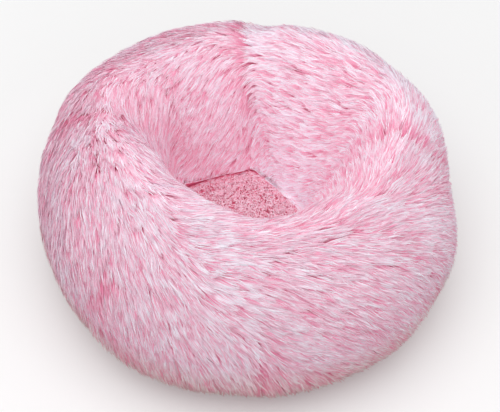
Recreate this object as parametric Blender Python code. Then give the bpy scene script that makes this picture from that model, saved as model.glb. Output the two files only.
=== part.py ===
"""Round stuffed pet bed: a fur bolster ring round a sunken plush floor.

The bolster's cover is six fur panels (gores) sewn edge to edge.  Each one crowns
between its seams and is drawn in at them, and its seam allowances turn inwards into
grooves of the filling.  The panels are sewn to a flat base cloth at the outer edge and,
through the floor, to the base cloth at the inner edge.

The loose stuffing has settled: slow waves move the crest ring, the height and the outline,
and the nest lies off the middle.

Units are metres, +Z is up, the bed stands on z = 0 and its middle is at the origin.  A ring
angle is measured round the bed from +X, and a turn runs along the bolster's section.
"""
import math

import bmesh
import bpy
from mathutils import Matrix

MM = 0.001

# Overall sizes, measured over the laid pile, before the stuffing settles
BED_WIDTH = 500 * MM
BED_HEIGHT = 209 * MM
WIDEST_HEIGHT = 68 * MM
CREST_RING_WIDTH = 331 * MM
NEST_WIDTH = 155 * MM

# How the stuffing has settled: waves round the bed, their height and one crest's direction
CREST_WAVES = ((1, 16 * MM, 48), (2, 4 * MM, 20), (3, 7 * MM, 36))
HEIGHT_WAVES = ((1, 13 * MM, 212), (2, 6 * MM, 31))
OUTLINE_WAVES = ((2, 6 * MM, -57),)
NEST_SHIFT = 22 * MM
NEST_SHIFT_DEG = 130

# Bolster panels
PANEL_COUNT = 6
FIRST_SEAM_DEG = 24
BASE_SEAM_DEG = -65
PILE_DEPTH = 15 * MM
SEAM_PILE_DEPTH = 6 * MM
SEAM_DRAW_IN = 7 * MM
SEAM_ALLOWANCE = 7 * MM
KNIT_FOLD = 2 * MM
FOLD_EASE = 0.8 * MM
CROWN_POWER = 3

# The nest wall turns over the crest in this radius; a low power makes the rest of it steep
SHOULDER_RADIUS = 30 * MM
LEAST_RISE_POWER = 0.45

# Floor of the nest
FLOOR_SEAM_HEIGHT = 14 * MM
FLOOR_CROWN_HEIGHT = 30 * MM
FLOOR_PILE_DEPTH = 10 * MM
FLOOR_EDGE_DEPTH = 4 * MM

# Base cloth with its moulded grip dots
CLOTH_THICKNESS = 1 * MM
HEM_HEIGHT = 6 * MM
DOT_HEIGHT = 1 * MM
DOT_WIDTH = 8 * MM
DOT_TIP_WIDTH = 6.5 * MM
DOT_PITCH = 36 * MM
DOT_MARGIN = 3 * MM
DOT_SIDES = 6

# Room between pieces that touch, and how near corners are to count as one
PIECE_GAP = 0.3 * MM
MERGE_REACH = 0.03 * MM

# Fineness of the facets, and the bend from which an edge is shown sharp
PANEL_STEPS = 8
PROFILE_STEPS = 18
SHARP_EDGE_DEG = 50

# Worked out from the sizes above
HALF_PANEL = math.pi / PANEL_COUNT
PANEL_ANGLE = 2 * HALF_PANEL
FIRST_SEAM = math.radians(FIRST_SEAM_DEG)
BED_RADIUS = BED_WIDTH / 2
CREST_RADIUS = CREST_RING_WIDTH / 2
NEST_DIRECTION = math.radians(NEST_SHIFT_DEG)
NEST_RADIUS = NEST_WIDTH / 2
FLOOR_CORNER_RADIUS = NEST_RADIUS / math.cos(HALF_PANEL)
CLOTH_TOP = DOT_HEIGHT + CLOTH_THICKNESS
INNER_BOTTOM = CLOTH_TOP + PIECE_GAP
SEAM_CREASE = KNIT_FOLD + FOLD_EASE + 2 * PIECE_GAP

# A turn runs along the section: the base seam, 0 at the widest point, the crest, the floor
BASE_SEAM = math.radians(BASE_SEAM_DEG)
CREST = math.pi / 2
FLOOR_SEAM = math.pi
TURN_STEP = (FLOOR_SEAM - BASE_SEAM) / PROFILE_STEPS

# How far along the section the pile thins, and the seam's draw-in fades, to either end
THIN_SPAN = math.radians(25)
FADE_SPAN = math.radians(35)


def smooth(share):
    """Ease from 0 to 1 with level ends."""
    share = min(max(share, 0), 1)
    return share * share * (3 - 2 * share)


def turn_at(row):
    return BASE_SEAM + TURN_STEP * row


def from_ends(turn, span):
    """0 at the base and floor seams, 1 further than span from both."""
    return smooth(min(turn - BASE_SEAM, FLOOR_SEAM - turn) / span)


def settled(ring, waves):
    """What the settled stuffing adds in one direction."""
    return sum(height * math.cos(count * (ring - math.radians(crest)))
               for count, height, crest in waves)


def nest_shift(ring):
    return NEST_SHIFT * math.cos(ring - NEST_DIRECTION)


def section_point(turn, ring):
    """Radius and height of the pile's surface, as it would be in the middle of a panel."""
    crest = CREST_RADIUS + settled(ring, CREST_WAVES)
    height = BED_HEIGHT + settled(ring, HEIGHT_WAVES)
    if turn > CREST:
        width = crest - NEST_RADIUS - nest_shift(ring)
        rise = height - FLOOR_SEAM_HEIGHT
        power = max(width ** 2 / (SHOULDER_RADIUS * rise), LEAST_RISE_POWER)
        fall = max(math.cos(turn - CREST), 0) ** power
        return crest - width * math.sin(turn - CREST), FLOOR_SEAM_HEIGHT + rise * fall
    bulge = settled(ring, OUTLINE_WAVES)
    if turn > 0:
        reach = crest + (BED_RADIUS + bulge - crest) * math.cos(turn)
        return reach, WIDEST_HEIGHT + (height - WIDEST_HEIGHT) * math.sin(turn)
    reach = CREST_RADIUS + (BED_RADIUS - CREST_RADIUS) * math.cos(turn)
    tuck_under = math.sin(turn) / -math.sin(BASE_SEAM)
    return (reach + bulge * smooth(1 - turn / BASE_SEAM),
            WIDEST_HEIGHT + (WIDEST_HEIGHT - CLOTH_TOP) * tuck_under)


def section_normal(turn, ring):
    """Direction out of the section, from the surface a quarter of a row to either side."""
    before = section_point(max(turn - TURN_STEP / 4, BASE_SEAM), ring)
    after = section_point(min(turn + TURN_STEP / 4, FLOOR_SEAM), ring)
    along = after[0] - before[0], after[1] - before[1]
    length = math.hypot(*along)
    return along[1] / length, -along[0] / length


def from_panel_middle(ring):
    """Angle from the middle line of the panel that holds this direction."""
    return (ring - FIRST_SEAM) % PANEL_ANGLE - HALF_PANEL


def floor_seam_radius(ring):
    """The floor seam runs straight from one panel seam to the next, with blunt corners."""
    corner = HALF_PANEL - SEAM_CREASE / FLOOR_CORNER_RADIUS
    angle = min(abs(from_panel_middle(ring)), corner)
    return NEST_RADIUS / math.cos(angle) + nest_shift(ring)


def pile_depth(turn):
    """Depth of the laid pile, which thins towards the base and floor seams."""
    return SEAM_PILE_DEPTH + (PILE_DEPTH - SEAM_PILE_DEPTH) * from_ends(turn, THIN_SPAN)


def fold_depth(turn):
    """Depth of the turned-in allowance, which runs out at the base and floor seams."""
    return SEAM_ALLOWANCE * from_ends(turn, FADE_SPAN)


def bolster_point(turn, ring, depth):
    """Radius and height of the point that lies depth below the pile's surface."""
    radius, height = section_point(turn, ring)
    out, up = section_normal(turn, ring)
    crease = SEAM_CREASE / radius
    across = min(abs(from_panel_middle(ring)) / (HALF_PANEL - crease), 1)
    depth += SEAM_DRAW_IN * from_ends(turn, FADE_SPAN) * across ** CROWN_POWER
    to_floor = smooth((turn - CREST) / (FLOOR_SEAM - CREST))
    outline = floor_seam_radius(ring) + PIECE_GAP / 2 - NEST_RADIUS - nest_shift(ring)
    return radius - depth * out + to_floor * outline, height - depth * up


def beside_seam(point_at, seam, offset):
    """The point of a row that lies offset from the plane of the panel seam."""
    ring = seam + math.asin(offset / point_at(seam)[0])
    return (*point_at(ring), ring)


def cylinder_place(radius, height, ring):
    return radius * math.cos(ring), radius * math.sin(ring), height


class PanelColumns:
    """Places across a panel: the turned-in folds at both seams and the even steps between."""

    def __init__(self, offsets):
        self.offsets = offsets
        self.count = 2 * len(offsets) + PANEL_STEPS - 1

    def seam_step(self, column):
        """How many columns lie between this one and the nearer seam."""
        return min(column, self.count - 1 - column)

    def place(self, column, seam, point_at):
        """A point of a row in the panel that starts at this seam."""
        step = self.seam_step(column)
        if step >= len(self.offsets):
            inner = column - len(self.offsets) + 1
            ring = seam + PANEL_ANGLE * inner / PANEL_STEPS
            return (*point_at(ring), ring)
        if column == step:
            return beside_seam(point_at, seam, self.offsets[step])
        return beside_seam(point_at, seam + PANEL_ANGLE, -self.offsets[step])


# The folds of a panel: its seam face, the fold's inner face and the pile beside it
FOLD_OFFSETS = (PIECE_GAP / 2, PIECE_GAP / 2 + KNIT_FOLD, PIECE_GAP / 2 + KNIT_FOLD + FOLD_EASE)
FOLD_COLUMNS = 2


def panel_place(columns, column, row, inside, seam):
    """A corner of the panel's facets; the row past the floor seam is its turned-down edge."""
    if row > PROFILE_STEPS:
        wall = KNIT_FOLD if inside else 0

        def point_at(ring):
            return floor_seam_radius(ring) + PIECE_GAP / 2 + wall, INNER_BOTTOM
    else:
        turn = turn_at(row)
        depth = 0
        if inside:
            depth = pile_depth(turn)
            if columns.seam_step(column) < FOLD_COLUMNS:
                depth += fold_depth(turn)

        def point_at(ring):
            return bolster_point(turn, ring, depth)
    return cylinder_place(*columns.place(column, seam, point_at))


def panel_mesh(seam):
    """A flat unit sheet given two faces, with every corner then taken to its place."""
    columns = PanelColumns(FOLD_OFFSETS)
    cells_across = columns.count - 1
    cells_along = PROFILE_STEPS + 1
    bm = bmesh.new()
    bmesh.ops.create_grid(bm, x_segments=cells_across, y_segments=cells_along, size=1)
    bmesh.ops.solidify(bm, geom=bm.faces[:], thickness=1)
    middle = sum(vert.co.z for vert in bm.verts) / len(bm.verts)
    for vert in bm.verts:
        column = round((vert.co.x + 1) / 2 * cells_across)
        row = round((vert.co.y + 1) / 2 * cells_along)
        vert.co = panel_place(columns, column, row, vert.co.z < middle, seam)
    bmesh.ops.recalc_face_normals(bm, faces=bm.faces[:])
    split_alike(bm)
    return finished_mesh("fur_panel", bm)


def split_alike(bm):
    """Split curved facets along their shorter diagonal, so facing pieces stay parallel."""
    bmesh.ops.triangulate(bm, faces=bm.faces[:], quad_method="SHORT_EDGE")


def finished_mesh(name, bm):
    """Store the mesh, smooth but for its hard edges."""
    mesh = bpy.data.meshes.new(name)
    bm.to_mesh(mesh)
    bm.free()
    mesh.shade_smooth()
    mesh.set_sharp_from_angle(angle=math.radians(SHARP_EDGE_DEG))
    return mesh


# The filling's groove for the two folds of a seam: its floor and its lip
GROOVE_OFFSETS = (FOLD_OFFSETS[1] + PIECE_GAP, FOLD_OFFSETS[2] + PIECE_GAP)


def hem_outer_radius():
    """The base cloth's turned-up edge stands just inside the panels' lower edge."""
    return bolster_point(BASE_SEAM, FIRST_SEAM, SEAM_PILE_DEPTH)[0] - PIECE_GAP


def filling_rows(grooved):
    """The filling's section as functions of the ring: flat below, round under the pile."""
    inner_wall = PIECE_GAP / 2 + KNIT_FOLD + PIECE_GAP
    outer_wall = hem_outer_radius() - CLOTH_THICKNESS - PIECE_GAP
    rows = [
        lambda ring: (outer_wall, INNER_BOTTOM),
        lambda ring: (outer_wall, CLOTH_TOP + HEM_HEIGHT + PIECE_GAP),
    ]
    for row in range(1, PROFILE_STEPS + 1):
        turn = turn_at(row)
        depth = pile_depth(turn) + PIECE_GAP + (fold_depth(turn) if grooved else 0)
        rows.append(lambda ring, turn=turn, depth=depth: bolster_point(turn, ring, depth))
    rows.append(lambda ring: (floor_seam_radius(ring) + inner_wall, INNER_BOTTOM))
    return rows


def filling_mesh():
    """A torus primitive whose rings are taken to the filling's sections."""
    columns = PanelColumns(GROOVE_OFFSETS)
    across = columns.count * PANEL_COUNT
    around = len(filling_rows(False))
    bpy.ops.mesh.primitive_torus_add(major_segments=across, minor_segments=around,
                                     major_radius=CREST_RADIUS, minor_radius=PILE_DEPTH)
    primitive = bpy.context.object
    bm = bmesh.new()
    bm.from_mesh(primitive.data)
    bpy.data.objects.remove(primitive)
    section = {grooved: filling_rows(grooved) for grooved in (False, True)}
    for vert in bm.verts:
        ring = math.atan2(vert.co.y, vert.co.x) / (2 * math.pi) % 1
        radius = math.hypot(vert.co.x, vert.co.y) - CREST_RADIUS
        turn = math.atan2(vert.co.z, radius) / (2 * math.pi) % 1
        panel, column = divmod(round(ring * across) % across, columns.count)
        grooved = columns.seam_step(column) == 0
        row = section[grooved][round(turn * around) % around]
        seam = FIRST_SEAM + panel * PANEL_ANGLE
        vert.co = cylinder_place(*columns.place(column, seam, row))
    split_alike(bm)
    return finished_mesh("bolster_filling", bm)


def turned_mesh(bm, profile, place):
    """Spin a profile once round, close it on the axis and take each corner to its place."""
    verts = [bm.verts.new((radius, 0, height)) for radius, height in profile]
    edges = [bm.edges.new(pair) for pair in zip(verts, verts[1:])]
    bmesh.ops.spin(bm, geom=verts + edges, cent=(0, 0, 0), axis=(0, 0, 1),
                   angle=2 * math.pi, steps=PANEL_STEPS * PANEL_COUNT)
    bmesh.ops.remove_doubles(bm, verts=bm.verts[:], dist=MERGE_REACH)
    for vert in bm.verts:
        ring = math.atan2(vert.co.y, vert.co.x) + FIRST_SEAM
        radius = math.hypot(vert.co.x, vert.co.y)
        vert.co = place(radius, vert.co.z, ring)
    bmesh.ops.recalc_face_normals(bm, faces=bm.faces[:])


# Shares of the floor's radius at which its crown is shaped
FLOOR_SHARES = (0, 0.3, 0.55, 0.75, 0.9)
FLOOR_CROWN_POWER = 2.5
FLOOR_THIN_SHARE = 0.35


def floor_top(share):
    """Height of the floor's pile, crowned from its seam to the middle."""
    crown = FLOOR_CROWN_HEIGHT - FLOOR_SEAM_HEIGHT
    return FLOOR_SEAM_HEIGHT + crown * (1 - share ** FLOOR_CROWN_POWER)


def floor_underside(share):
    """Height of the floor panel's backing."""
    deepening = smooth((1 - share) / FLOOR_THIN_SHARE)
    depth = FLOOR_EDGE_DEPTH + (FLOOR_PILE_DEPTH - FLOOR_EDGE_DEPTH) * deepening
    return floor_top(share) - depth


def on_floor_outline(radius, height, ring):
    """Take a round profile to the floor's outline: its rim moves whole, the rest in part."""
    share = min(radius / (FLOOR_CORNER_RADIUS * FLOOR_SHARES[-1]), 1)
    moved = floor_seam_radius(ring) - FLOOR_CORNER_RADIUS
    x, y, z = cylinder_place(radius + moved * share, height, ring)
    middle_x, middle_y, _ = cylinder_place(NEST_SHIFT * (1 - share), height, NEST_DIRECTION)
    return x + middle_x, y + middle_y, z


def floor_fur_mesh():
    """The crowned plush panel with its edge turned down to the base cloth."""
    edge = FLOOR_CORNER_RADIUS - PIECE_GAP / 2
    wall = edge - KNIT_FOLD
    profile = [(edge * share, floor_top(share)) for share in FLOOR_SHARES]
    profile += [(edge, FLOOR_SEAM_HEIGHT), (edge, INNER_BOTTOM), (wall, INNER_BOTTOM),
                (wall, floor_underside(1))]
    profile += [(edge * share, floor_underside(share)) for share in reversed(FLOOR_SHARES)]
    bm = bmesh.new()
    turned_mesh(bm, profile, on_floor_outline)
    return finished_mesh("floor_fur", bm)


def floor_filling_mesh():
    """The thin pad between the floor panel and the base cloth."""
    edge = FLOOR_CORNER_RADIUS - PIECE_GAP / 2
    rim = edge - KNIT_FOLD - PIECE_GAP
    top = [(edge * share, floor_underside(share) - PIECE_GAP) for share in FLOOR_SHARES]
    profile = top + [(rim, floor_underside(1) - PIECE_GAP), (rim, INNER_BOTTOM),
                     (0, INNER_BOTTOM)]
    bm = bmesh.new()
    turned_mesh(bm, profile, on_floor_outline)
    return finished_mesh("floor_filling", bm)


def base_cloth_mesh():
    """A round cloth with its edge turned up as a hem: a disc whose top is inset and sunk."""
    radius = hem_outer_radius()
    height = CLOTH_THICKNESS + HEM_HEIGHT
    bm = bmesh.new()
    bmesh.ops.create_cone(bm, cap_ends=True, segments=PANEL_STEPS * PANEL_COUNT,
                          radius1=radius, radius2=radius, depth=height)
    bmesh.ops.translate(bm, verts=bm.verts[:], vec=(0, 0, DOT_HEIGHT + height / 2))
    top = max(bm.faces, key=lambda face: face.calc_center_median().z)
    bmesh.ops.inset_region(bm, faces=[top], thickness=CLOTH_THICKNESS, use_even_offset=True)
    bmesh.ops.translate(bm, verts=top.verts[:], vec=(0, 0, -HEM_HEIGHT))
    return finished_mesh("base_cloth", bm)


def dot_places():
    """Middles of the grip dots: one in the centre and rings of six more each time."""
    yield 0, 0
    outermost = hem_outer_radius() - DOT_MARGIN - DOT_WIDTH / 2
    for ring in range(1, int(outermost / DOT_PITCH) + 1):
        corners = [(ring * DOT_PITCH * math.cos(side * math.tau / DOT_SIDES),
                    ring * DOT_PITCH * math.sin(side * math.tau / DOT_SIDES))
                   for side in range(DOT_SIDES + 1)]
        for (x, y), (next_x, next_y) in zip(corners, corners[1:]):
            for step in range(ring):
                yield x + (next_x - x) * step / ring, y + (next_y - y) * step / ring


def grip_dots_mesh():
    """Moulded dots, sunk half way into the cloth that they are joined to."""
    depth = DOT_HEIGHT + CLOTH_THICKNESS / 2
    bm = bmesh.new()
    for x, y in dot_places():
        bmesh.ops.create_cone(bm, cap_ends=True, segments=DOT_SIDES,
                              radius1=DOT_TIP_WIDTH / 2, radius2=DOT_WIDTH / 2, depth=depth,
                              matrix=Matrix.Translation((x, y, depth / 2)))
    return finished_mesh("grip_dots", bm)


def matte_material(name, colour, roughness):
    material = bpy.data.materials.new(name)
    material.use_nodes = True
    shader = material.node_tree.nodes["Principled BSDF"]
    shader.inputs["Base Color"].default_value = (*colour, 1)
    shader.inputs["Roughness"].default_value = roughness
    shader.inputs["Metallic"].default_value = 0
    return material


def place_piece(name, mesh, material, collection, turn=0):
    """Put one piece of the bed in its collection, turned about the middle."""
    piece = bpy.data.objects.new(name, mesh)
    piece.rotation_euler.z = turn
    mesh.materials.clear()
    mesh.materials.append(material)
    collection.objects.link(piece)
    return piece


def new_collection(name):
    collection = bpy.data.collections.new(name)
    bpy.context.scene.collection.children.link(collection)
    return collection


def make_bed():
    for old in list(bpy.data.objects):
        bpy.data.objects.remove(old)
    bed = new_collection("pet_bed")
    guides = new_collection("joined_shapes")

    long_pile = matte_material("pink_long_pile", (0.82, 0.47, 0.60), 0.9)
    plush = matte_material("pink_plush", (0.78, 0.35, 0.48), 0.95)
    fibre = matte_material("white_hollow_fibre", (0.86, 0.86, 0.84), 1.0)
    cloth = matte_material("grey_grip_cloth", (0.30, 0.30, 0.32), 0.8)

    for number in range(PANEL_COUNT):
        panel = panel_mesh(FIRST_SEAM + number * PANEL_ANGLE)
        place_piece(f"bolster_fur_panel_{number + 1}", panel, long_pile, bed)
    place_piece("bolster_filling", filling_mesh(), fibre, bed)
    place_piece("floor_fur", floor_fur_mesh(), plush, bed)
    place_piece("floor_filling", floor_filling_mesh(), fibre, bed)

    base = place_piece("base_cloth", base_cloth_mesh(), cloth, bed, FIRST_SEAM)
    dots = place_piece("grip_dots", grip_dots_mesh(), cloth, guides, FIRST_SEAM)
    dots.hide_render = True
    dots.display_type = "WIRE"
    union = base.modifiers.new("moulded_dots", "BOOLEAN")
    union.operation = "UNION"
    union.object = dots


make_bed()
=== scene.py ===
import math

import bpy
import numpy as np
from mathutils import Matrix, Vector


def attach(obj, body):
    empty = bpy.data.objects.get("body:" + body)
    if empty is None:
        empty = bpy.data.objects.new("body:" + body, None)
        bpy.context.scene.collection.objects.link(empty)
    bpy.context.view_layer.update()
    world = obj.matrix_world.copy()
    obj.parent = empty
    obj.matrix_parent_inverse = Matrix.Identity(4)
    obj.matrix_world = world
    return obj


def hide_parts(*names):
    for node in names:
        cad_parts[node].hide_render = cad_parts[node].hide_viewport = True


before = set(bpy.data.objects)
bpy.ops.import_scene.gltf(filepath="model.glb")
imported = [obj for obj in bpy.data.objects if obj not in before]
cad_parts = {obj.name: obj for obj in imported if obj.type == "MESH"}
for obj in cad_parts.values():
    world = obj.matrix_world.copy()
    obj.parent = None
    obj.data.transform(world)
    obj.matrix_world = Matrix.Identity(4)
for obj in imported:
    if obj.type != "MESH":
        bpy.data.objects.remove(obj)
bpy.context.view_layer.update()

bpy.ops.object.select_all(action="DESELECT")
TAU = 2 * math.pi


# Bolster filling: loose hollow fibre stuffed into the ring.  It settles as it is used, so
# the crest leans to one side, the other side stands a little higher, and the ring is lumpy.
CREST_RADIUS = 0.1655
CREST_WAVES = ((1, 16, 48), (2, 4, 20), (3, 7, 36))
BED_RADIUS = 0.250
OUTLINE_WAVES = ((2, 6, -57), (3, 3, -29))
BED_HEIGHT = 0.209
HEIGHT_WAVES = ((1, 13, 212), (2, 6, 31))
WIDEST_HEIGHT = 0.068
NEST_RADIUS = 0.0775
NEST_WAVES = ((1, 22, 130),)
SHOULDER_RADIUS = 0.030
LEAST_RISE_POWER = 0.45
BASE_HEIGHT = 0.002
FLOOR_EDGE_HEIGHT = 0.016
PANEL_COUNT = 6
PANEL_ANGLE = TAU / PANEL_COUNT
FIRST_SEAM = math.radians(24)
BASE_TURN = math.radians(-65)
SEAM_DRAW_INS = (0.003, 0.007, 0.003, 0.003, 0.003, 0.003)
SEAM_CREASE = 0.12
SEAM_SWINGS = np.radians((-34, 0, 28, 22, 6, 0))
SEAM_CLIMB_SHARE = 0.4
SEAM_CLIMB_POWER = 1.5
SEAM_WOBBLES = ((0.03, 22, 2), (0.02, 47, 1))
CORNER_ROUNDING = 0.03
CORNER_FADE_POWER = 6
RING_CELLS = 288
SHARE_CELLS = 96
SECTION_STEPS = 2000
HELD_FROM_BASE = 0.18
HELD_FROM_FLOOR = 0.14
PILE_DEPTH = 0.015
EDGE_PILE_DEPTH = 0.002
PILE_THINS_OVER = 0.12
KNIT = 0.0015
LUMPS = ((3, 1, 0.0012, 0.4), (5, 2, 0.0014, 4.1), (7, 3, 0.0012, 2.7),
         (4, 5, 0.0010, 5.2), (9, 4, 0.0008, 1.1))


def settled(ring, waves):
    """What the settled filling adds in one direction: waves round, millimetres, crest."""
    return sum(high / 1000 * np.cos(count * (ring - math.radians(crest)))
               for count, high, crest in waves)


def ripple(ring, share, waves):
    """Slow waves over the ring: whole turns round, half waves along, height and phase."""
    return sum(high * np.sin(turns * ring + phase + along * math.pi * share)
               for turns, along, high, phase in waves)


def from_seam(ring):
    """Angle to the nearest panel seam, which runs from the base over the crest to the floor."""
    return np.abs((ring - FIRST_SEAM + PANEL_ANGLE / 2) % PANEL_ANGLE - PANEL_ANGLE / 2)


def seam_angle(seam, share):
    """A panel seam leaves its corner of the floor and swings round the bed as it climbs."""
    seam = seam % PANEL_COUNT
    climb = np.clip((1 - share) / SEAM_CLIMB_SHARE, 0, 1)
    wobble = sum(wide * np.sin(waves * share + phase * seam)
                 for wide, waves, phase in SEAM_WOBBLES)
    swing = SEAM_SWINGS[seam] * climb ** SEAM_CLIMB_POWER
    return FIRST_SEAM + seam * PANEL_ANGLE + swing + wobble * climb


def nest_outline(ring, sharp=1.0):
    """The floor seam runs straight between the panel seams, and the nest sits off centre.
    Up the wall the filling pushes the corners out: sharp is 1 at the seam, 0 for a round nest."""
    middle = PANEL_ANGLE / 2 - np.maximum(from_seam(ring), CORNER_ROUNDING)
    return NEST_RADIUS * (1 + sharp * (1 / np.cos(middle) - 1)) + settled(ring, NEST_WAVES)


def bolster_section(ring, turn):
    """Radius and height of the laid pile: the turn runs from the base seam to the floor."""
    crest = CREST_RADIUS + settled(ring, CREST_WAVES)
    height = BED_HEIGHT + settled(ring, HEIGHT_WAVES)
    inside = np.clip(turn - math.pi / 2, 0, math.pi / 2)
    width = crest - nest_outline(ring)
    power = np.maximum(width ** 2 / (SHOULDER_RADIUS * height), LEAST_RISE_POWER)
    corners = nest_outline(ring, np.sin(inside) ** CORNER_FADE_POWER)
    wall_radius = crest - (crest - corners) * np.sin(inside)
    wall_rise = np.maximum(np.cos(inside), 0) ** power
    wall_height = FLOOR_EDGE_HEIGHT + (height - FLOOR_EDGE_HEIGHT) * wall_rise
    under = np.clip(1 - turn / BASE_TURN, 0, 1)
    bulge = settled(ring, OUTLINE_WAVES) * np.where(turn < 0, under * under * (3 - 2 * under), 1)
    base = np.where(turn < 0, CREST_RADIUS, crest)
    reach = base + (BED_RADIUS - base) * np.cos(turn) + bulge * np.where(turn < 0, 1, np.cos(turn))
    upper = WIDEST_HEIGHT + (height - WIDEST_HEIGHT) * np.sin(turn)
    lower = WIDEST_HEIGHT + (WIDEST_HEIGHT - BASE_HEIGHT) * np.sin(turn) / -math.sin(BASE_TURN)
    return (np.where(turn > math.pi / 2, wall_radius, reach),
            np.where(turn > math.pi / 2, wall_height, np.where(turn > 0, upper, lower)))


def even_turns(count):
    """Turns that divide the length of the section evenly, so that a share of it is a length."""
    fine = np.linspace(BASE_TURN, math.pi, SECTION_STEPS)
    radius, height = bolster_section(np.full_like(fine, math.pi / 2), fine)
    run = np.concatenate([[0], np.cumsum(np.hypot(np.diff(radius), np.diff(height)))])
    return np.interp(np.linspace(0, run[-1], count + 1), run, fine)


def unit(vectors):
    """The same directions, each one long."""
    return vectors / np.maximum(np.linalg.norm(vectors, axis=-1, keepdims=True), 1e-12)


SHARES = np.linspace(0, 1, SHARE_CELLS + 1)
TURNS = even_turns(SHARE_CELLS)
CREST_SHARE = float(np.interp(math.pi / 2, TURNS, SHARES))


class Skin:
    """A surface kept as rows of points round the bed, each with its outward direction."""

    def __init__(self, points):
        before, after = np.roll(points, 1, axis=1), np.roll(points, -1, axis=1)
        self.rows, self.columns = points.shape[0] - 1, points.shape[1]
        round_step = (after - before) * (self.columns / 2)
        along_step = np.gradient(points, axis=0) * self.rows
        out = unit(np.cross(round_step, along_step))
        spans = np.stack([np.linalg.norm(round_step, axis=-1) / TAU,
                          np.linalg.norm(along_step, axis=-1)], axis=-1)
        self.table = np.concatenate([points, out, spans], axis=-1)

    def read(self, ring, share):
        """Place, outward direction, metres per radian round and metres per share along."""
        column = (ring / TAU % 1) * self.columns
        row = np.clip(share, 0, 1) * self.rows
        left = np.floor(column).astype(int)
        low = np.minimum(np.floor(row).astype(int), self.rows - 1)
        across, up = (column - left)[..., None], (row - low)[..., None]
        left, right = left % self.columns, (left + 1) % self.columns
        found = ((self.table[low, left] * (1 - across) + self.table[low, right] * across)
                 * (1 - up) + (self.table[low + 1, left] * (1 - across)
                               + self.table[low + 1, right] * across) * up)
        return found[..., :3], unit(found[..., 3:6]), found[..., 6], found[..., 7]


def laid_pile():
    """The outside of the pile.  It swells in lumps, but not where the long seams hold it, and
    each panel seam draws a crease into it."""
    share, ring = np.meshgrid(SHARES, np.arange(RING_CELLS) / RING_CELLS * TAU, indexing="ij")
    radius, height = bolster_section(ring, np.interp(share, SHARES, TURNS))
    points = np.stack([radius * np.cos(ring), radius * np.sin(ring), height], axis=-1)
    out = Skin(points).table[..., 3:6]
    loose = np.clip(np.minimum(share / HELD_FROM_BASE, (1 - share) / HELD_FROM_FLOOR), 0, 1)
    swell = ripple(ring, share, LUMPS)
    for seam, draw_in in enumerate(SEAM_DRAW_INS):
        aside = (ring - seam_angle(seam, share) + math.pi) % TAU - math.pi
        swell = swell - draw_in * np.exp(-(aside / SEAM_CREASE) ** 2)
    return Skin(points + out * (loose * swell)[..., None])


bolster_skin = laid_pile()


def pile_depth(share):
    """The pile lies deepest over the crest and thins to the base and floor seams."""
    return np.interp(share, (0, PILE_THINS_OVER, 1 - PILE_THINS_OVER, 1),
                     (EDGE_PILE_DEPTH, PILE_DEPTH, PILE_DEPTH, EDGE_PILE_DEPTH))


def under_pile(ring, share, extra):
    """Places on the backing, where the pile is rooted, or an extra depth below it."""
    place, out, _, _ = bolster_skin.read(ring, share)
    return place - out * (pile_depth(share) + extra)[..., None]


class Shade:
    """An output socket of a material or world.  Sums with it add the Math nodes they need."""

    def __init__(self, tree, socket=None):
        self.tree, self.socket = tree, socket

    def node(self, kind, settings=(), output=0, **inputs):
        """Add a node: its settings, with a ramp's stops, then its sockets' values or links.
        A socket goes by its name, or by an underscore and its number."""
        made = self.tree.nodes.new(kind)
        for name, value in dict(settings).items():
            if name == "stops":
                ramp = made.color_ramp
                while len(ramp.elements) < len(value):
                    ramp.elements.new(1)
                for element, (at, colour) in zip(ramp.elements, value):
                    element.position, element.color = at, (*colour, 1)
            else:
                setattr(made, name, value)
        for name, value in inputs.items():
            socket = made.inputs[int(name[1:]) if name[1:].isdigit() else name.replace("_", " ")]
            if isinstance(value, Shade):
                self.tree.links.new(value.socket, socket)
            else:
                socket.default_value = value
        return Shade(self.tree, made.outputs[output])

    def maths(self, operation, first, second=0.0):
        """A sum of two numbers, by one Math node."""
        return self.node("ShaderNodeMath", {"operation": operation}, _0=first, _1=second)

    def most(self, other):
        """The greater of two numbers."""
        return self.maths("MAXIMUM", self, other)

    def __add__(self, other):
        return self.maths("ADD", self, other)

    def __mul__(self, other):
        return self.maths("MULTIPLY", self, other)

    def blend(self, first, second):
        """A colour between two, by this value."""
        return self.node("ShaderNodeMix", {"data_type": "RGBA"}, output=2,
                         _0=self, _6=first, _7=second)


def finish_of(name, roughness, colour=None, **fixed):
    """A material and the start of its sums; fixed values go on the shader's own sockets."""
    material = bpy.data.materials.new(name)
    material.use_nodes = True
    shader = material.node_tree.nodes["Principled BSDF"]
    shader.inputs["Roughness"].default_value = roughness
    if colour:
        shader.inputs["Base Color"].default_value = (*colour, 1)
    for socket, value in fixed.items():
        shader.inputs[socket.replace("_", " ")].default_value = value
    return material, Shade(material.node_tree), shader


def drive(shader, socket, shade):
    """Link a worked-out value to a socket of a shader."""
    shade.tree.links.new(shade.socket, shader.inputs[socket])


def fibre_finish(name, colour, shadow, size, **fixed):
    """Matted fibre or knit: a fine noise in colour and relief, on Object coordinates."""
    material, start, shader = finish_of(name, 0.95, Sheen_Weight=0.2, **fixed)
    place = start.node("ShaderNodeTexCoord", output=3)
    tuft = start.node("ShaderNodeTexNoise", Vector=place, Scale=size, Detail=4.0)
    drive(shader, "Base Color", tuft.blend((*shadow, 1), (*colour, 1)))
    bump = start.node("ShaderNodeBump", Strength=0.6, Distance=0.002, Height=tuft)
    drive(shader, "Normal", bump)
    return material


def keep_piece(piece, name, material, slot, *nodes):
    """Name a finished piece, dress it, and let it ride with the bed for the nodes it shows."""
    piece.name = piece.data.name = name
    piece.data.materials.clear()
    piece.data.materials.append(material)
    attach(piece, "root")
    if nodes:
        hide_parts(*nodes)
    return piece


FILLING_COLUMNS = 180
FILLING_ROWS = 54
FILLING_TOP_ROWS = 46
FILLING_FLAT = 0.0026
FILLING_GAP = 0.0008


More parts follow.
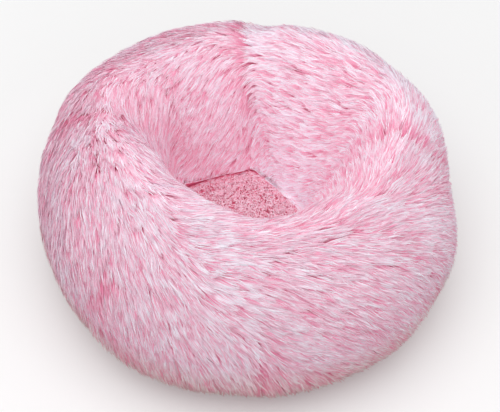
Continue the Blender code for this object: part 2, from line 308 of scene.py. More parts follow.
def filling_place(ring, turn):
    """Rows of a ring: most lie under the pile, the rest run flat along the base cloth."""
    row = turn * FILLING_ROWS
    if row <= FILLING_TOP_ROWS:
        share = np.array([row / FILLING_TOP_ROWS])
        x, y, z = under_pile(np.array([ring]), share, KNIT + FILLING_GAP)[0]
        return x, y, max(z, FILLING_FLAT)
    base, floor = under_pile(np.full(2, ring), np.array([0.0, 1.0]), KNIT + FILLING_GAP)
    along = (row - FILLING_TOP_ROWS) / (FILLING_ROWS - FILLING_TOP_ROWS)
    return (*(floor + (base - floor) * along)[:2], FILLING_FLAT)


bpy.ops.mesh.primitive_torus_add(major_segments=FILLING_COLUMNS, minor_segments=FILLING_ROWS,
                                 major_radius=CREST_RADIUS, minor_radius=PILE_DEPTH)
filling = bpy.context.object
for vert in filling.data.vertices:
    ring = math.atan2(vert.co.y, vert.co.x)
    across = math.hypot(vert.co.x, vert.co.y) - CREST_RADIUS
    turn = math.atan2(vert.co.z, across) / TAU % 1
    vert.co = filling_place(ring, turn)
filling.data.shade_smooth()
stuffing = fibre_finish("white_hollow_fibre", colour=(0.86, 0.85, 0.83),
                        shadow=(0.62, 0.61, 0.60), size=260)
keep_piece(filling, "bolster_stuffing", stuffing, "fibre", "bolster_filling")


# Floor pad: a thin round pad of the same fibre, sewn in under the floor of the nest.  It
# is crowned in the middle and pinched at the seam where floor, bolster and base cloth meet.
FLOOR_CROWN = 0.031
FLOOR_EDGE = 0.017
FLOOR_PILE = 0.009
FLOOR_EDGE_PILE = 0.0035
FLOOR_PILE_THINS_OVER = 0.3
FLOOR_CROWN_POWER = 2.5
FLOOR_TUCK = 0.0005
FLOOR_LUMP = 0.0012
FLOOR_LUMP_WAVES = (90, 75)
FLOOR_ROWS = 40
FLOOR_COLUMNS = 144
ON_EDGE = 1.001


def floor_pile_depth(inwards):
    """The plush stands full over the pad and thins to the seam round it."""
    return np.interp(inwards, (0, FLOOR_PILE_THINS_OVER), (FLOOR_EDGE_PILE, FLOOR_PILE))


def floor_skin_points():
    """Rows of points from the middle of the nest to its seam, a little lumpy inside."""
    share, ring = np.meshgrid(np.linspace(0, 1, FLOOR_ROWS + 1),
                              np.arange(FLOOR_COLUMNS) / FLOOR_COLUMNS * TAU, indexing="ij")
    edge = nest_outline(ring) + FLOOR_TUCK
    _, shift, towards = NEST_WAVES[0]
    middle_x = shift / 1000 * math.cos(math.radians(towards))
    middle_y = shift / 1000 * math.sin(math.radians(towards))
    x = middle_x * (1 - share) + edge * np.cos(ring) * share
    y = middle_y * (1 - share) + edge * np.sin(ring) * share
    z = FLOOR_EDGE + (FLOOR_CROWN - FLOOR_EDGE) * (1 - share ** FLOOR_CROWN_POWER)
    sideways, forwards = FLOOR_LUMP_WAVES
    z += FLOOR_LUMP * np.sin(x * sideways + 1) * np.cos(y * forwards) * (1 - share)
    return np.stack([x, y, z], axis=-1)


# Rows run from the edge inwards here, so that the outward direction points up
floor_skin = Skin(floor_skin_points()[::-1])


def floor_solid(extra_depth, bottom):
    """A ball primitive pressed into a crowned pad: its upper half follows the floor, and its
    lower half lies at the height that bottom gives for the top above it."""
    bpy.ops.mesh.primitive_uv_sphere_add(segments=96, ring_count=40, radius=1)
    pad = bpy.context.object
    for vert in pad.data.vertices:
        ring = math.atan2(vert.co.y, vert.co.x)
        level = math.acos(max(-1, min(1, vert.co.z))) / (math.pi / 2)
        inwards = np.array([abs(1 - level)])
        place, _, _, _ = floor_skin.read(np.array([ring]), inwards)
        x, y, z = place[0]
        top = z - floor_pile_depth(inwards[0]) - extra_depth
        vert.co = (x, y, top if level <= ON_EDGE else bottom(top))
    pad.data.shade_smooth()
    return pad


pad = floor_solid(KNIT + FILLING_GAP, lambda top: FILLING_FLAT)
keep_piece(pad, "floor_stuffing", stuffing, "fibre", "floor_filling")


# Fur panels: six gores of knitted backing, sewn edge to edge over the filling and drawn in
# at each seam.  The backing is dyed hot pink like the roots of its pile.
PANEL_COLUMNS = 30
PANEL_ROWS = 84
ROOT_PINK = (0.92, 0.24, 0.40)
ROOT_SHADOW = (0.80, 0.16, 0.30)

# The knit has a faint emission too: a painted glow standing in for light passed on through the
# pile
knit = fibre_finish("hot_pink_knit", ROOT_PINK, ROOT_SHADOW, size=420,
                    Emission_Color=(0.14, 0.02, 0.045, 1), Emission_Strength=1)
for number in range(PANEL_COUNT):
    first = FIRST_SEAM + number * PANEL_ANGLE
    bpy.ops.mesh.primitive_grid_add(x_subdivisions=PANEL_COLUMNS, y_subdivisions=PANEL_ROWS,
                                    size=2)
    panel = bpy.context.object
    flat = np.empty(len(panel.data.vertices) * 3)
    panel.data.vertices.foreach_get("co", flat)
    flat = flat.reshape(-1, 3)
    ring = first + (flat[:, 0] + 1) / 2 * PANEL_ANGLE
    placed = under_pile(ring, (flat[:, 1] + 1) / 2, 0)
    placed[:, 2] = np.maximum(placed[:, 2], BASE_HEIGHT)
    hem = flat[:, 1] > 1 - 1 / PANEL_ROWS
    turned_down = nest_outline(ring[hem]) + KNIT / 2
    placed[hem] = np.stack([turned_down * np.cos(ring[hem]), turned_down * np.sin(ring[hem]),
                            np.full(hem.sum(), FILLING_FLAT)], axis=-1)
    panel.data.vertices.foreach_set("co", placed.ravel())
    wall = panel.modifiers.new("knit", "SOLIDIFY")
    wall.thickness, wall.offset = KNIT, -1
    bpy.ops.object.modifier_apply(modifier="knit")
    panel.data.shade_smooth()
    keep_piece(panel, f"bolster_backing_{number + 1}", knit, "long_pile",
               f"bolster_fur_panel_{number + 1}")


# Long pile: acrylic fibres about 30 mm long, knitted into the backing, hot pink at the root
# and frosted almost white at the tip.  They are brushed round the ring and away from its
# crest, gather into pointed locks, and part at the seams.
STRAND_STEPS = 3
STRAND_LENGTH = 0.030
STRAND_WIDTH = 0.0009
STRAND_WIDTHS = (0.7, 1.3)
BANDS = (("lower_pile", 0, 0.27, 15000), ("upper_pile", 0.27, CREST_SHARE, 19000),
         ("nest_wall_pile", CREST_SHARE, 0.985, 15000))

# The comb's direction at turns of the section, in degrees, and slow waves in it
COMB_TURNS = np.radians((-65, -30, 5, 40, 70, 90, 105, 125, 150, 180))
COMB_DEGREES = (84, 74, 60, 43, 22, 6, -8, -27, -44, -54)
COMB_WAVES = ((3, 2, 0.16, 0.3), (5, 3, 0.13, 2.2), (8, 5, 0.10, 4.4), (13, 9, 0.08, 1.2))


def comb_angle(ring, share):
    """Where the pile is brushed to: 0 is round the bed, a quarter turn is down and out."""
    lie = np.radians(np.interp(np.interp(share, SHARES, TURNS), COMB_TURNS, COMB_DEGREES))
    return lie + ripple(ring, share, COMB_WAVES)


# At each seam the pile parts most at one share of its way, over a spread, by so much
SEAM_OPENINGS = ((0.50, 0.16, 1), (0.62, 0.22, 0.9), (0.50, 0.12, 0.8), (0.34, 0.07, 0.9),
                 (0.20, 0.11, 1), (0.22, 0.07, 0.8))


def seam_opening(seam, share):
    """How far the pile parts at a seam and shows the roots behind it."""
    at, spread, most = SEAM_OPENINGS[seam % PANEL_COUNT]
    return most * np.exp(-((share - at) / spread) ** 2)


SWAY_FADE = 0.6


def trail(skin, comb, ring, share, length, sway):
    """Follow the lie of the pile from a root, a step at a time, over the surface.  Its sway
    off the comb fades on the way."""
    path = [(ring, share)]
    for step in range(STRAND_STEPS):
        _, _, round_span, along_span = skin.read(ring, share)
        lie = comb(ring, share) + sway * (1 - SWAY_FADE * step / STRAND_STEPS)
        run = length / STRAND_STEPS
        ring = ring + run * np.cos(lie) / round_span
        share = share - run * np.sin(lie) / along_span
        path.append((ring, share))
    return np.array([point[0] for point in path]), np.array([point[1] for point in path])


# Locks differ in sway, length, tone and the pull on their strands.  A few are deep pink pits.
LOCK_ACROSS = 0.0034
LOCK_ROWS = 78
LOCK_STRETCH = 0.5
LOCK_SWAY = 0.22
LOCK_LENGTHS = (0.75, 1.2)
LOCK_PULL = 0.72
LOCK_PULLS = (0.5, 1.25)
LOCK_TONE = 0.08
PIT_SHARE = 0.03
PIT_TONE = 0.55


class Locks:
    """Middles of the pile's locks, scattered a cell apart in rows from base to floor."""

    def __init__(self, skin, comb, rows, spacing, length, rng):
        self.rows = rows
        middles = (np.arange(rows) + 0.5) / rows
        spans = skin.read(np.zeros(rows), middles)[2]
        self.counts = np.maximum((TAU * spans / spacing).astype(int), 3)
        self.starts = np.concatenate([[0], np.cumsum(self.counts)])
        row = np.repeat(np.arange(rows), self.counts)
        cell = np.concatenate([np.arange(count) for count in self.counts])
        total = len(row)
        self.ring = (cell + rng.random(total)) / self.counts[row] * TAU
        self.share = (row + rng.random(total)) / rows
        self.sway = rng.normal(0, LOCK_SWAY, total)
        self.length = length * rng.uniform(*LOCK_LENGTHS, total)
        self.pull = LOCK_PULL * rng.uniform(*LOCK_PULLS, total)
        self.chance = rng.random(total)
        self.tone = rng.normal(0, LOCK_TONE, total) - PIT_TONE * (rng.random(total) < PIT_SHARE)
        self.path = trail(skin, comb, self.ring, self.share, self.length, self.sway)

    def nearest(self, skin, comb, ring, share):
        """Each root's own lock and how far off it is: the one with the nearest middle, where
        distance along the lie counts less."""
        _, _, round_span, along_span = skin.read(ring, share)
        lie = comb(ring, share)
        best = np.full(ring.shape, np.inf)
        found = np.zeros(ring.shape, int)
        home = np.clip((share * self.rows).astype(int), 0, self.rows - 1)
        for row_step in (-1, 0, 1):
            row = np.clip(home + row_step, 0, self.rows - 1)
            cell = np.floor((ring / TAU % 1) * self.counts[row]).astype(int)
            for cell_step in (-1, 0, 1):
                lock = self.starts[row] + (cell + cell_step) % self.counts[row]
                turned = (self.ring[lock] - ring + math.pi) % TAU - math.pi
                aside = turned * round_span
                along = (self.share[lock] - share) * along_span
                forward = aside * np.cos(lie) - along * np.sin(lie)
                side = aside * np.sin(lie) + along * np.cos(lie)
                distance = np.hypot(forward * LOCK_STRETCH, side)
                nearer = distance < best
                best[nearer], found[nearer] = distance[nearer], lock[nearer]
        return found, best


def scattered(skin, low, high, count, rng):
    """Roots spread evenly by area over a band of a surface, between two shares of its rows."""
    tries = count * 4
    ring = rng.random(tries) * TAU
    share = low + rng.random(tries) * (high - low)
    _, _, round_span, along_span = skin.read(ring, share)
    area = round_span * along_span
    kept = np.flatnonzero(rng.random(tries) * area.max() < area)[:count]
    return ring[kept], share[kept]


LIT_BY_SKIN = 0.6
LIT_BY_STRAND = 0.25
LIT_FROM_ABOVE = 0.35


def soft_normals(outs, aside, lifted, roll):
    """Light falls softly on fur: a strand is lit by the skin's direction, its own lie and up."""
    own = lifted * np.cos(roll)[None, :, None] - aside * np.sin(roll)[None, :, None]
    normals = unit(outs * LIT_BY_SKIN + own * LIT_BY_STRAND + np.array([0, 0, LIT_FROM_ABOVE]))
    return np.stack([part for step in normals[:-1] for part in (step, step)]
                    + [normals[-1]], axis=1)


MAP_MARGIN = 0.004


def strand_map(tone):
    """The corners of a strand on the map: its tone across, and from its root up to its tip."""
    column = 0.01 + 0.98 * np.clip(tone, 0, 1)
    across = column[:, None] + np.array([-1, 1, -1, 1, -1, 1, 0])[None, :] * MAP_MARGIN
    up = np.repeat([MAP_MARGIN, 1 / 3, 2 / 3, 1 - MAP_MARGIN], (2, 2, 2, 1))[None, :]
    return np.stack([across, np.broadcast_to(up, across.shape)], axis=-1).reshape(-1, 2)


STRAND_TAPER = (0.75, 1.0, 0.8)
STRAND_FACES = ((0, 2, 3, 1), (2, 4, 5, 3), (4, 6, 5))


def ribbons(name, places, outs, widths, roll, tone):
    """One tapering ribbon of faces per strand: a pair of corners at each step, and a tip."""
    count = places.shape[1]
    tangents = unit(np.gradient(places, axis=0))
    aside = unit(np.cross(tangents, outs))
    lifted = np.cross(aside, tangents)
    normals = soft_normals(outs, aside, lifted, roll)
    aside = aside * np.cos(roll)[None, :, None] + lifted * np.sin(roll)[None, :, None]
    taper = np.array(STRAND_TAPER)[:, None] * widths[None, :] / 2
    left = places[:-1] + aside[:-1] * taper[..., None]
    right = places[:-1] - aside[:-1] * taper[..., None]
    verts = np.stack([part for pair in zip(left, right) for part in pair] + [places[-1]], axis=1)
    starts = np.arange(count)[:, None] * verts.shape[1]
    loops = np.concatenate([np.array(face)[None, :] + starts for face in STRAND_FACES], axis=1)
    sizes = np.array([len(face) for face in STRAND_FACES])
    face_starts = (np.arange(count)[:, None] * sizes.sum()
                   + np.concatenate([[0], np.cumsum(sizes)[:-1]])[None, :])
    mesh = bpy.data.meshes.new(name)
    mesh.vertices.add(verts.shape[0] * verts.shape[1])
    mesh.vertices.foreach_set("co", verts.astype(np.float32).ravel())
    mesh.loops.add(loops.size)
    mesh.loops.foreach_set("vertex_index", loops.astype(np.int32).ravel())
    mesh.polygons.add(face_starts.size)
    mesh.polygons.foreach_set("loop_start", face_starts.astype(np.int32).ravel())
    mesh.update(calc_edges=True)
    layer = mesh.uv_layers.new(name="OFBake")
    mapped = strand_map(tone)[loops.ravel()]
    layer.data.foreach_set("uv", mapped.astype(np.float32).ravel())
    mesh.shade_smooth()
    facing = mesh.attributes.new("custom_normal", "FLOAT_VECTOR", "POINT")
    facing.data.foreach_set("vector", normals.astype(np.float32).ravel())
    piece = bpy.data.objects.new(name, mesh)
    bpy.context.scene.collection.objects.link(piece)
    return piece


# Strands differ a little from their lock.  How deep each step lies in the pile is a share of
# the pile's depth, and a negative one stands out of it.
STRAND_LENGTHS = (0.8, 1.15)
STRAND_SWAY = 0.16
STRAND_ROLL = 0.5
STRAND_SUNK = (1.0, 0.30, 0.08, 0.0)
LOCK_CURL = 1.2
LOCK_SINK = 0.12
WAVE_SINK = 0.05
SINK_WAVES = ((7, 6, 0.5, 1.0), (12, 11, 0.5, 3.3), (19, 17, 0.4, 5.1))
SINK_SPREAD = 0.06
LEAST_SINK = -0.05
STRAY_SHARE = 0.03
STRAY_SINK = -0.12

# Past a seam the pile hangs over the next panel, and some locks reach further
SEAM_OVERLAP = 0.018
LOCK_OVERLAP = 0.012
REACHING_LOCKS = 0.55
LEAST_ADVANCE = 0.25
LEAST_LENGTH = 0.15

# Tone: 0 is deep pink, 1 is frosted.  Behind a seam roots show, less where a lock covers them
FULL_TONE = 0.82
PANEL_TONES = (0.14, -0.05, 0.03, 0.04, -0.05, 0.0)
TONE_WAVES = ((1, 0, 0.04, 1.9), (2, 1, 0.04, 3.6), (6, 4, 0.04, 0.8), (11, 8, 0.04, 2.9),
              (17, 13, 0.04, 5.5))
TONE_SPREAD = 0.27
DEEP_SHARE = 0.08
DEEP_TONE = 0.5
ROOTS_REACH = 0.009
ROOTS_BARE = 1.2
ROOTS_COVERED = 0.2
BARE_LOCKS = 0.6

# Near the ground the pile is cut shorter and matted and its tone drops, partly for the pink roots
# that show and partly as painted shade; at the floor it is trimmed, and its ends lie on the plush
LOW_SHARES = (0.12, 0.27)
LOW_TRIM = 0.4
LOW_TONE_AND_SHADE = 0.2
LOW_SUNK = (0, 0.3, 0.15, 0)
HANGING_SHARE = 0.5
LEAST_HEIGHT = 0.0006
FLOOR_TRIM_SHARES = (0.9, 1)
FLOOR_TRIM = 0.6
FLOOR_END_SHARE = 0.99
OVER_FLOOR = 0.008
OVER_FLOOR_RISE = 0.3


class PanelPile:
    """The strands of one panel, by where they are rooted and the locks that they join.  They
    end at the panel's next seam, where the next panel's roots show."""

    def __init__(self, roots, panel):
        ring, share = roots
        first, last = seam_angle(panel, share), seam_angle(panel + 1, share)
        own = (ring - first) % TAU < (last - first) % TAU
        first, last = first[own], last[own]
        self.panel, self.count = panel, int(own.sum())
        self.ring, self.share = first + (ring[own] - first) % TAU, share[own]
        self.lock, self.aside = locks.nearest(bolster_skin, comb_angle, self.ring, self.share)
        self.low = np.interp(self.share, LOW_SHARES, (1, 0))
        _, _, round_span, _ = bolster_skin.read(self.ring, self.share)
        self.behind = (self.ring - first) * round_span
        self.ahead = (first + (last - first) % TAU - self.ring) * round_span

    def lengths(self, rng):
        """Strands are shorter near the ground, at the floor and where the next seam is near."""
        length = locks.length[self.lock] * rng.uniform(*STRAND_LENGTHS, self.count)
        length *= np.interp(self.share, FLOOR_TRIM_SHARES, (1, FLOOR_TRIM))
        length *= 1 - LOW_TRIM * self.low
        overlap = (SEAM_OVERLAP * (1 - seam_opening(self.panel + 1, self.share))
                   + LOCK_OVERLAP * (locks.chance[self.lock] > REACHING_LOCKS))
        advance = np.cos(comb_angle(self.ring, self.share))
        advance = np.maximum(advance, LEAST_ADVANCE) * length
        return length * np.clip((self.ahead + overlap) / advance, LEAST_LENGTH, 1)

    def paths(self, rng):
        """Each strand follows the comb, and more and more the path of its lock."""
        length = self.lengths(rng)
        sway = locks.sway[self.lock] + rng.normal(0, STRAND_SWAY, self.count)
        rings, shares = trail(bolster_skin, comb_angle, self.ring, self.share, length, sway)
        along = (np.arange(STRAND_STEPS + 1) / STRAND_STEPS)[:, None]
        pull = locks.pull[self.lock] * along ** LOCK_CURL
        turned = (locks.path[0][:, self.lock] - rings + math.pi) % TAU - math.pi
        return rings + turned * pull, shares + (locks.path[1][:, self.lock] - shares) * pull

    def depths(self, shares, rng):
        """A strand rises from its root to the top of the pile, and a few strays stand out."""
        sink = (LOCK_SINK * locks.chance[self.lock]
                + WAVE_SINK * ripple(self.ring, self.share, SINK_WAVES)
                + rng.normal(0, SINK_SPREAD, self.count))
        stray = rng.random(self.count) < STRAY_SHARE
        sink = np.where(stray, STRAY_SINK, np.maximum(sink, LEAST_SINK))
        sunk = np.array(STRAND_SUNK)[:, None] + np.array(LOW_SUNK)[:, None] * self.low
        return pile_depth(shares) * (sunk + (1 - sunk) * sink)

    def tones(self, rng):
        """Roots show behind a parted seam, locks are paler in the middle, some strands deep."""
        shown = np.where(locks.chance[self.lock] < BARE_LOCKS, ROOTS_BARE, ROOTS_COVERED)
        parted = (seam_opening(self.panel, self.share) * shown
                  * np.exp(-(self.behind / ROOTS_REACH) ** 2))
        # Near the ground the tone drops, partly for roots that show and partly as painted shade
        tone = (FULL_TONE + PANEL_TONES[self.panel] - parted - LOW_TONE_AND_SHADE * self.low
                + locks.tone[self.lock] * (1 + 2 * self.low)
                + ripple(self.ring, self.share, TONE_WAVES)
                + rng.normal(0, TONE_SPREAD, self.count) * (1 + self.low)
                - (self.aside / LOCK_ACROSS) ** 2)
        return np.where(rng.random(self.count) < DEEP_SHARE, tone - DEEP_TONE, tone)

    def grow(self, name, rng):
        """Grow the strands.  Past the floor seam they lie on the plush, and past the base seam
        they hang down to the ground."""
        rings, shares = self.paths(rng)
        over = np.maximum(shares - FLOOR_END_SHARE, 0)
        shares = np.minimum(shares, FLOOR_END_SHARE)
        place, out, _, along_span = bolster_skin.read(rings, shares)
        places = place - out * self.depths(shares, rng)[..., None]
        over = np.minimum(over * along_span, OVER_FLOOR)
        under = np.maximum(-shares, 0) * along_span * HANGING_SHARE
        places[..., 0] += np.cos(rings) * (under - over)
        places[..., 1] += np.sin(rings) * (under - over)
        places[..., 2] += OVER_FLOOR_RISE * over - under
        places[..., 2] = np.maximum(places[..., 2], LEAST_HEIGHT)
        tone = self.tones(rng)
        widths = STRAND_WIDTH * rng.uniform(*STRAND_WIDTHS, self.count)
        roll = rng.normal(0, STRAND_ROLL, self.count)
        return ribbons(name, places, out, widths, roll, tone)


def pile_finish(name, deep, frosted, glow_stops, painted_shade_stops=None):
    """Dyed fibre: two colour runs from root to tip, and a strand's tone picks between them.
    Fibres pass light on to each other, so the pile is given a faint painted glow, an emission
    standing in for that light in the shade.  Where it has painted shade stops, it is painted
    greyer and darker towards the ground, as painted shade."""
    material, start, shader = finish_of(name, 0.7, Specular_IOR_Level=0.12)
    where = start.node("ShaderNodeUVMap", {"uv_map": "OFBake"})
    across = start.node("ShaderNodeSeparateXYZ", output=0, Vector=where)
    up = start.node("ShaderNodeSeparateXYZ", output=1, Vector=where)
    dark = start.node("ShaderNodeValToRGB", {"stops": deep}, Fac=up)
    pale = start.node("ShaderNodeValToRGB", {"stops": frosted}, Fac=up)
    colour = across.blend(dark, pale)
    # Painted shade: the colour is darkened and greyed towards the ground, by height
    if painted_shade_stops:
        place = start.node("ShaderNodeTexCoord", output=3)
        height = start.node("ShaderNodeSeparateXYZ", output=2, Vector=place)
        ground_shade = start.node("ShaderNodeValToRGB", {"stops": painted_shade_stops},
                          Fac=height * PAINTED_SHADE_PER_METRE)
        colour = start.node("ShaderNodeMix", {"data_type": "RGBA", "blend_type": "MULTIPLY"},
                            output=2, _0=1.0, _6=colour, _7=ground_shade)
    drive(shader, "Base Color", colour)
    glow = start.node("ShaderNodeValToRGB", {"stops": glow_stops}, Fac=up)
    drive(shader, "Emission Color", glow)
    shader.inputs["Emission Strength"].default_value = 1
    return material


LONG_DEEP = ((0, (0.50, 0.02, 0.09)), (0.25, (0.68, 0.09, 0.22)),
             (0.6, (0.78, 0.22, 0.38)), (1, (0.84, 0.38, 0.54)))
LONG_FROSTED = ((0, (0.72, 0.12, 0.25)), (0.25, (0.85, 0.56, 0.68)),
                (0.5, (0.85, 0.83, 0.90)), (1, (0.86, 0.90, 0.95)))
# Painted glows: faint emissions that stand in for light passed between fibres in the shade; the
# nest's is brighter, painted light on its shaded walls
ROOT_PAINTED_GLOW = ((0, (0.10, 0.008, 0.03)), (0.4, (0.10, 0.04, 0.06)), (1, (0.065, 0.06, 0.065)))
NEST_PAINTED_GLOW = ((0, (0.11, 0.01, 0.035)), (0.4, (0.17, 0.10, 0.13)), (1, (0.15, 0.145, 0.15)))
# Painted shade for the outside pile: darker and greyer towards the ground, where less light falls
GROUND_PAINTED_SHADE = ((0, (0.62, 0.53, 0.42)), (0.35, (0.81, 0.72, 0.59)), (0.6, (0.95, 0.91, 0.83)),
               (0.95, (1, 1, 1)))
PAINTED_SHADE_PER_METRE = 9.0
inner_pile = pile_finish("pink_pile_of_the_nest", LONG_DEEP, LONG_FROSTED, NEST_PAINTED_GLOW)
outer_pile = pile_finish("pink_pile_outside", LONG_DEEP, LONG_FROSTED, ROOT_PAINTED_GLOW, GROUND_PAINTED_SHADE)
rng = np.random.default_rng(24)
locks = Locks(bolster_skin, comb_angle, LOCK_ROWS, LOCK_ACROSS, STRAND_LENGTH, rng)
for band, low, high, strands in BANDS:
    roots = scattered(bolster_skin, low, high, strands * PANEL_COUNT, rng)
    for number in range(PANEL_COUNT):
        pile = PanelPile(roots, number).grow(f"{band}_{number + 1}", rng)
        keep_piece(pile, pile.name, inner_pile if low == CREST_SHARE else outer_pile, "long_pile")


# Floor plush: a denser, shorter and more deeply dyed pile on its own knitted panel, whose
# edge is turned down into the seam with the bolster.
PLUSH_STRANDS = 9000
PLUSH_SHARES = (0.02, 0.985)
PLUSH_SEAM_GAP = 0.002
PLUSH_WIDTH = 0.0014
PLUSH_LENGTH = 0.016
PLUSH_LENGTHS = (0.6, 1.2)
PLUSH_LEANS = (0.45, 0.85)
PLUSH_STANDS = (0.75, 1.05)
PLUSH_CURL = 1.3
PLUSH_ROLL = 0.6
PLUSH_SPREAD = 0.55
PLUSH_SWIRL = 0.5
PLUSH_SWIRL_WAVES = (110, 90)
PLUSH_TONE = 0.5
PLUSH_TONE_SPREAD = 0.45

plush_backing = floor_solid(0, lambda top: top - KNIT)
keep_piece(plush_backing, "floor_backing", knit, "plush", "floor_fur")


def grow_plush(rng):
    """Tufts that lean towards the front, in slow swirls, and stop short of the seam."""
    ring, share = scattered(floor_skin, *PLUSH_SHARES, PLUSH_STRANDS, rng)
    count = len(ring)
    place, out, _, _ = floor_skin.read(ring, share)
    sideways, forwards = PLUSH_SWIRL_WAVES
    swirl = np.sin(place[:, 0] * sideways) * np.cos(place[:, 1] * forwards + 1)
    heading = -math.pi / 2 + rng.normal(0, PLUSH_SPREAD, count) + PLUSH_SWIRL * swirl
    length = PLUSH_LENGTH * rng.uniform(*PLUSH_LENGTHS, count)
    lean = rng.uniform(*PLUSH_LEANS, count)
    reach = np.stack([np.cos(heading), np.sin(heading), np.zeros(count)], axis=-1)
    places = []
    for step in range(STRAND_STEPS + 1):
        along = step / STRAND_STEPS
        stood = (1 - (1 - along) ** 2) * rng.uniform(*PLUSH_STANDS, count)
        places.append(place + out * (floor_pile_depth(share) * (stood - 1))[:, None]
                      + reach * (length * lean * along ** PLUSH_CURL)[:, None])
    places = np.array(places)
    edge = nest_outline(np.arctan2(places[..., 1], places[..., 0])) - PLUSH_SEAM_GAP
    far = np.hypot(places[..., 0], places[..., 1])
    places[..., :2] *= np.minimum(1, edge / np.maximum(far, 1e-6))[..., None]
    tone = PLUSH_TONE + rng.normal(0, PLUSH_TONE_SPREAD, count)
    widths = PLUSH_WIDTH * rng.uniform(*STRAND_WIDTHS, count)
    roll = rng.normal(0, PLUSH_ROLL, count)
    outs = np.broadcast_to(out, places.shape)
    return ribbons("floor_plush", places, outs, widths, roll, tone)


PLUSH_DEEP = ((0, (0.68, 0.08, 0.16)), (0.3, (0.84, 0.26, 0.38)),
              (0.7, (0.91, 0.48, 0.60)), (1, (0.92, 0.60, 0.71)))
PLUSH_FROSTED = ((0, (0.80, 0.17, 0.28)), (0.3, (0.91, 0.56, 0.68)),
                 (0.7, (0.94, 0.80, 0.87)), (1, (0.95, 0.90, 0.94)))
plush = pile_finish("pink_plush", PLUSH_DEEP, PLUSH_FROSTED, ROOT_PAINTED_GLOW)
keep_piece(grow_plush(rng), "floor_plush", plush, "plush")


# Base cloth: a round cut of coarse woven cloth under the bed, its edge turned up inside the
# bolster's lower edge.  Rubber dots moulded on its underside keep the bed from sliding.
CLOTH_RADIUS = 0.1979
CLOTH_HEIGHT = 0.0015
CLOTH_THICKNESS = 0.0009
HEM_HEIGHT = 0.006
DOT_HEIGHT = 0.001
DOT_WIDTH = 0.008
DOT_TIP_WIDTH = 0.0065
DOT_PITCH = 0.036
DOT_RINGS = 5
DOT_SIDES = 12
HEXAGON_SIDES = 6


def woven_finish(name, colour, pitch):
    """Crossed threads on Object coordinates, in colour and relief."""
    material, start, shader = finish_of(name, 0.85, Specular_IOR_Level=0.25)
    place = start.node("ShaderNodeTexCoord", output=3)
    threads = [start.node("ShaderNodeTexWave", {"bands_direction": way}, output=1, Vector=place,
                          Scale=pitch) for way in ("X", "Y")]
    weave = threads[0].most(threads[1])
    dark = tuple(part * 0.55 for part in colour)
    drive(shader, "Base Color", weave.blend((*dark, 1), (*colour, 1)))
    drive(shader, "Normal", start.node("ShaderNodeBump", Strength=0.5, Distance=0.0006,
                                       Height=weave))
    return material


bpy.ops.mesh.primitive_circle_add(vertices=144, radius=CLOTH_RADIUS, fill_type="TRIFAN",
                                  location=(0, 0, CLOTH_HEIGHT))
base_sheet = bpy.context.object
bpy.ops.object.mode_set(mode="EDIT")
bpy.ops.mesh.select_all(action="SELECT")
bpy.ops.mesh.region_to_loop()
bpy.ops.mesh.extrude_region_move(TRANSFORM_OT_translate={"value": (0, 0, HEM_HEIGHT)})
bpy.ops.mesh.select_all(action="SELECT")
bpy.ops.mesh.normals_make_consistent(inside=False)
bpy.ops.object.mode_set(mode="OBJECT")
bpy.ops.object.transform_apply(location=True)
fold = base_sheet.modifiers.new("cloth", "SOLIDIFY")
fold.thickness, fold.offset, fold.use_even_offset = CLOTH_THICKNESS, 0, True
bpy.ops.object.modifier_apply(modifier="cloth")
woven = woven_finish("grey_woven_cloth", (0.34, 0.34, 0.36), pitch=260)
keep_piece(base_sheet, "base_sheet", woven, "grip_cloth", "base_cloth")

bpy.ops.mesh.primitive_cone_add(vertices=DOT_SIDES, radius1=DOT_TIP_WIDTH / 2,
                                radius2=DOT_WIDTH / 2, depth=DOT_HEIGHT)
dots = bpy.context.object
corners = np.array([vert.co for vert in dots.data.vertices]) + (0, 0, DOT_HEIGHT / 2)
faces = [tuple(face.vertices) for face in dots.data.polygons]
spots = [(0, 0)]
for ring_number in range(1, DOT_RINGS + 1):
    turns = [FIRST_SEAM + side * TAU / HEXAGON_SIDES for side in range(HEXAGON_SIDES + 1)]
    hexagon = [(ring_number * DOT_PITCH * math.cos(turn), ring_number * DOT_PITCH * math.sin(turn))
               for turn in turns]
    for (x, y), (next_x, next_y) in zip(hexagon, hexagon[1:]):
        spots += [(x + (next_x - x) * step / ring_number, y + (next_y - y) * step / ring_number)
                  for step in range(ring_number)]
dots.data.clear_geometry()
dots.data.from_pydata(np.concatenate([corners + (x, y, 0) for x, y in spots]).tolist(), [],
                      [tuple(corner + number * len(corners) for corner in face)
                       for number in range(len(spots)) for face in faces])
rubber, _, _ = finish_of("black_rubber", roughness=0.6, colour=(0.05, 0.05, 0.055))
keep_piece(dots, "grip_dots", rubber, "grip_cloth")


# Stage: a white floor that keeps the bed's shadow, a broad soft lamp overhead and a white
# room.  The camera stands where the photograph was taken from.
GROUND_WIDTH = 12
GROUND_LIT = (0.18, 0.17, 0.17)
GROUND_SEEN = (0.97, 0.97, 0.97)
FAR_RAMP_PER_METRE = 0.33
FAR_WHITE = ((0.15, (0, 0, 0)), (0.33, (0.13, 0.13, 0.13)), (0.67, (0.32, 0.32, 0.32)),
             (1, (0.42, 0.42, 0.42)))
ROOM_SEEN = 1.0
ROOM_LIGHT = 0.55
LAMP_PLACE = (-0.1, -0.5, 1.8)
LAMP_WIDTH = 2.4
LAMP_WATTS = 24

bpy.ops.mesh.primitive_plane_add(size=GROUND_WIDTH)
ground = bpy.context.object
ground.name = "ground"


def shown_rays(start):
    """1 for what the camera, a gloss or a clear piece shows, 0 for light on the bed."""
    camera_ray = start.node("ShaderNodeLightPath", output="Is Camera Ray")
    gloss_ray = start.node("ShaderNodeLightPath", output="Is Glossy Ray")
    clear_ray = start.node("ShaderNodeLightPath", output="Is Transmission Ray")
    return camera_ray.most(gloss_ray.most(clear_ray))


paper, paper_start, paper_shader = finish_of("white_paper", 0.9, Specular_IOR_Level=0.0)
seen = shown_rays(paper_start)
drive(paper_shader, "Base Color", seen.blend((*GROUND_LIT, 1), (*GROUND_SEEN, 1)))
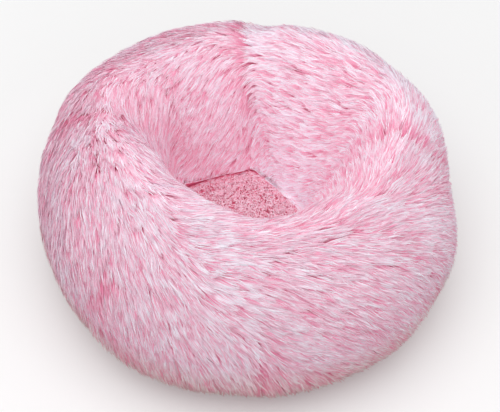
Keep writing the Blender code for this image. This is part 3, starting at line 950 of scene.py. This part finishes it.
# The far floor stays white where the lamp fades
from_bed = paper_start.node("ShaderNodeVectorMath", {"operation": "LENGTH"}, output=1,
                            _0=paper_start.node("ShaderNodeTexCoord", output=3))
far_white = paper_start.node("ShaderNodeValToRGB", {"stops": FAR_WHITE},
                             Fac=from_bed * FAR_RAMP_PER_METRE)
drive(paper_shader, "Emission Color", seen.blend((0, 0, 0, 1), far_white))
paper_shader.inputs["Emission Strength"].default_value = 1
ground.data.materials.append(paper)

world = bpy.data.worlds.new("studio")
bpy.context.scene.world = world
world.use_nodes = True
world.node_tree.nodes["Background"].inputs["Color"].default_value = (1, 1, 1, 1)
sky = Shade(world.node_tree)
drive(world.node_tree.nodes["Background"], "Strength",
      shown_rays(sky) * (ROOM_SEEN - ROOM_LIGHT) + ROOM_LIGHT)


def aim(thing, at):
    """Turn a lamp or a camera so that it looks at a point."""
    thing.rotation_euler = (at - thing.location).to_track_quat("-Z", "Y").to_euler()


bpy.ops.object.light_add(type="AREA", location=LAMP_PLACE)
softbox = bpy.context.object
softbox.data.shape = "DISK"
softbox.data.size = LAMP_WIDTH
softbox.data.energy = LAMP_WATTS
aim(softbox, Vector((0, 0, 0.1)))

CAMERA_ELEVATION = math.radians(49.0)
CAMERA_DISTANCE = 0.914
CAMERA_TARGET = (0.0037, 0.0065, 0.0914)
CAMERA_FOCUS = 754
CAMERA_SHIFTS = (0.0022, -0.0401)
SENSOR_WIDTH = 36
FRAME_WIDTH = 500
camera = bpy.data.objects.new("camera", bpy.data.cameras.new("camera"))
bpy.context.scene.collection.objects.link(camera)
target = Vector(CAMERA_TARGET)
towards_camera = Vector((0, -math.cos(CAMERA_ELEVATION), math.sin(CAMERA_ELEVATION)))
camera.location = target + towards_camera * CAMERA_DISTANCE
aim(camera, target)
camera.data.sensor_width = SENSOR_WIDTH
camera.data.lens = CAMERA_FOCUS / FRAME_WIDTH * SENSOR_WIDTH
camera.data.shift_x, camera.data.shift_y = CAMERA_SHIFTS
bpy.context.scene.camera = camera
bpy.context.scene.view_settings.view_transform = "Standard"
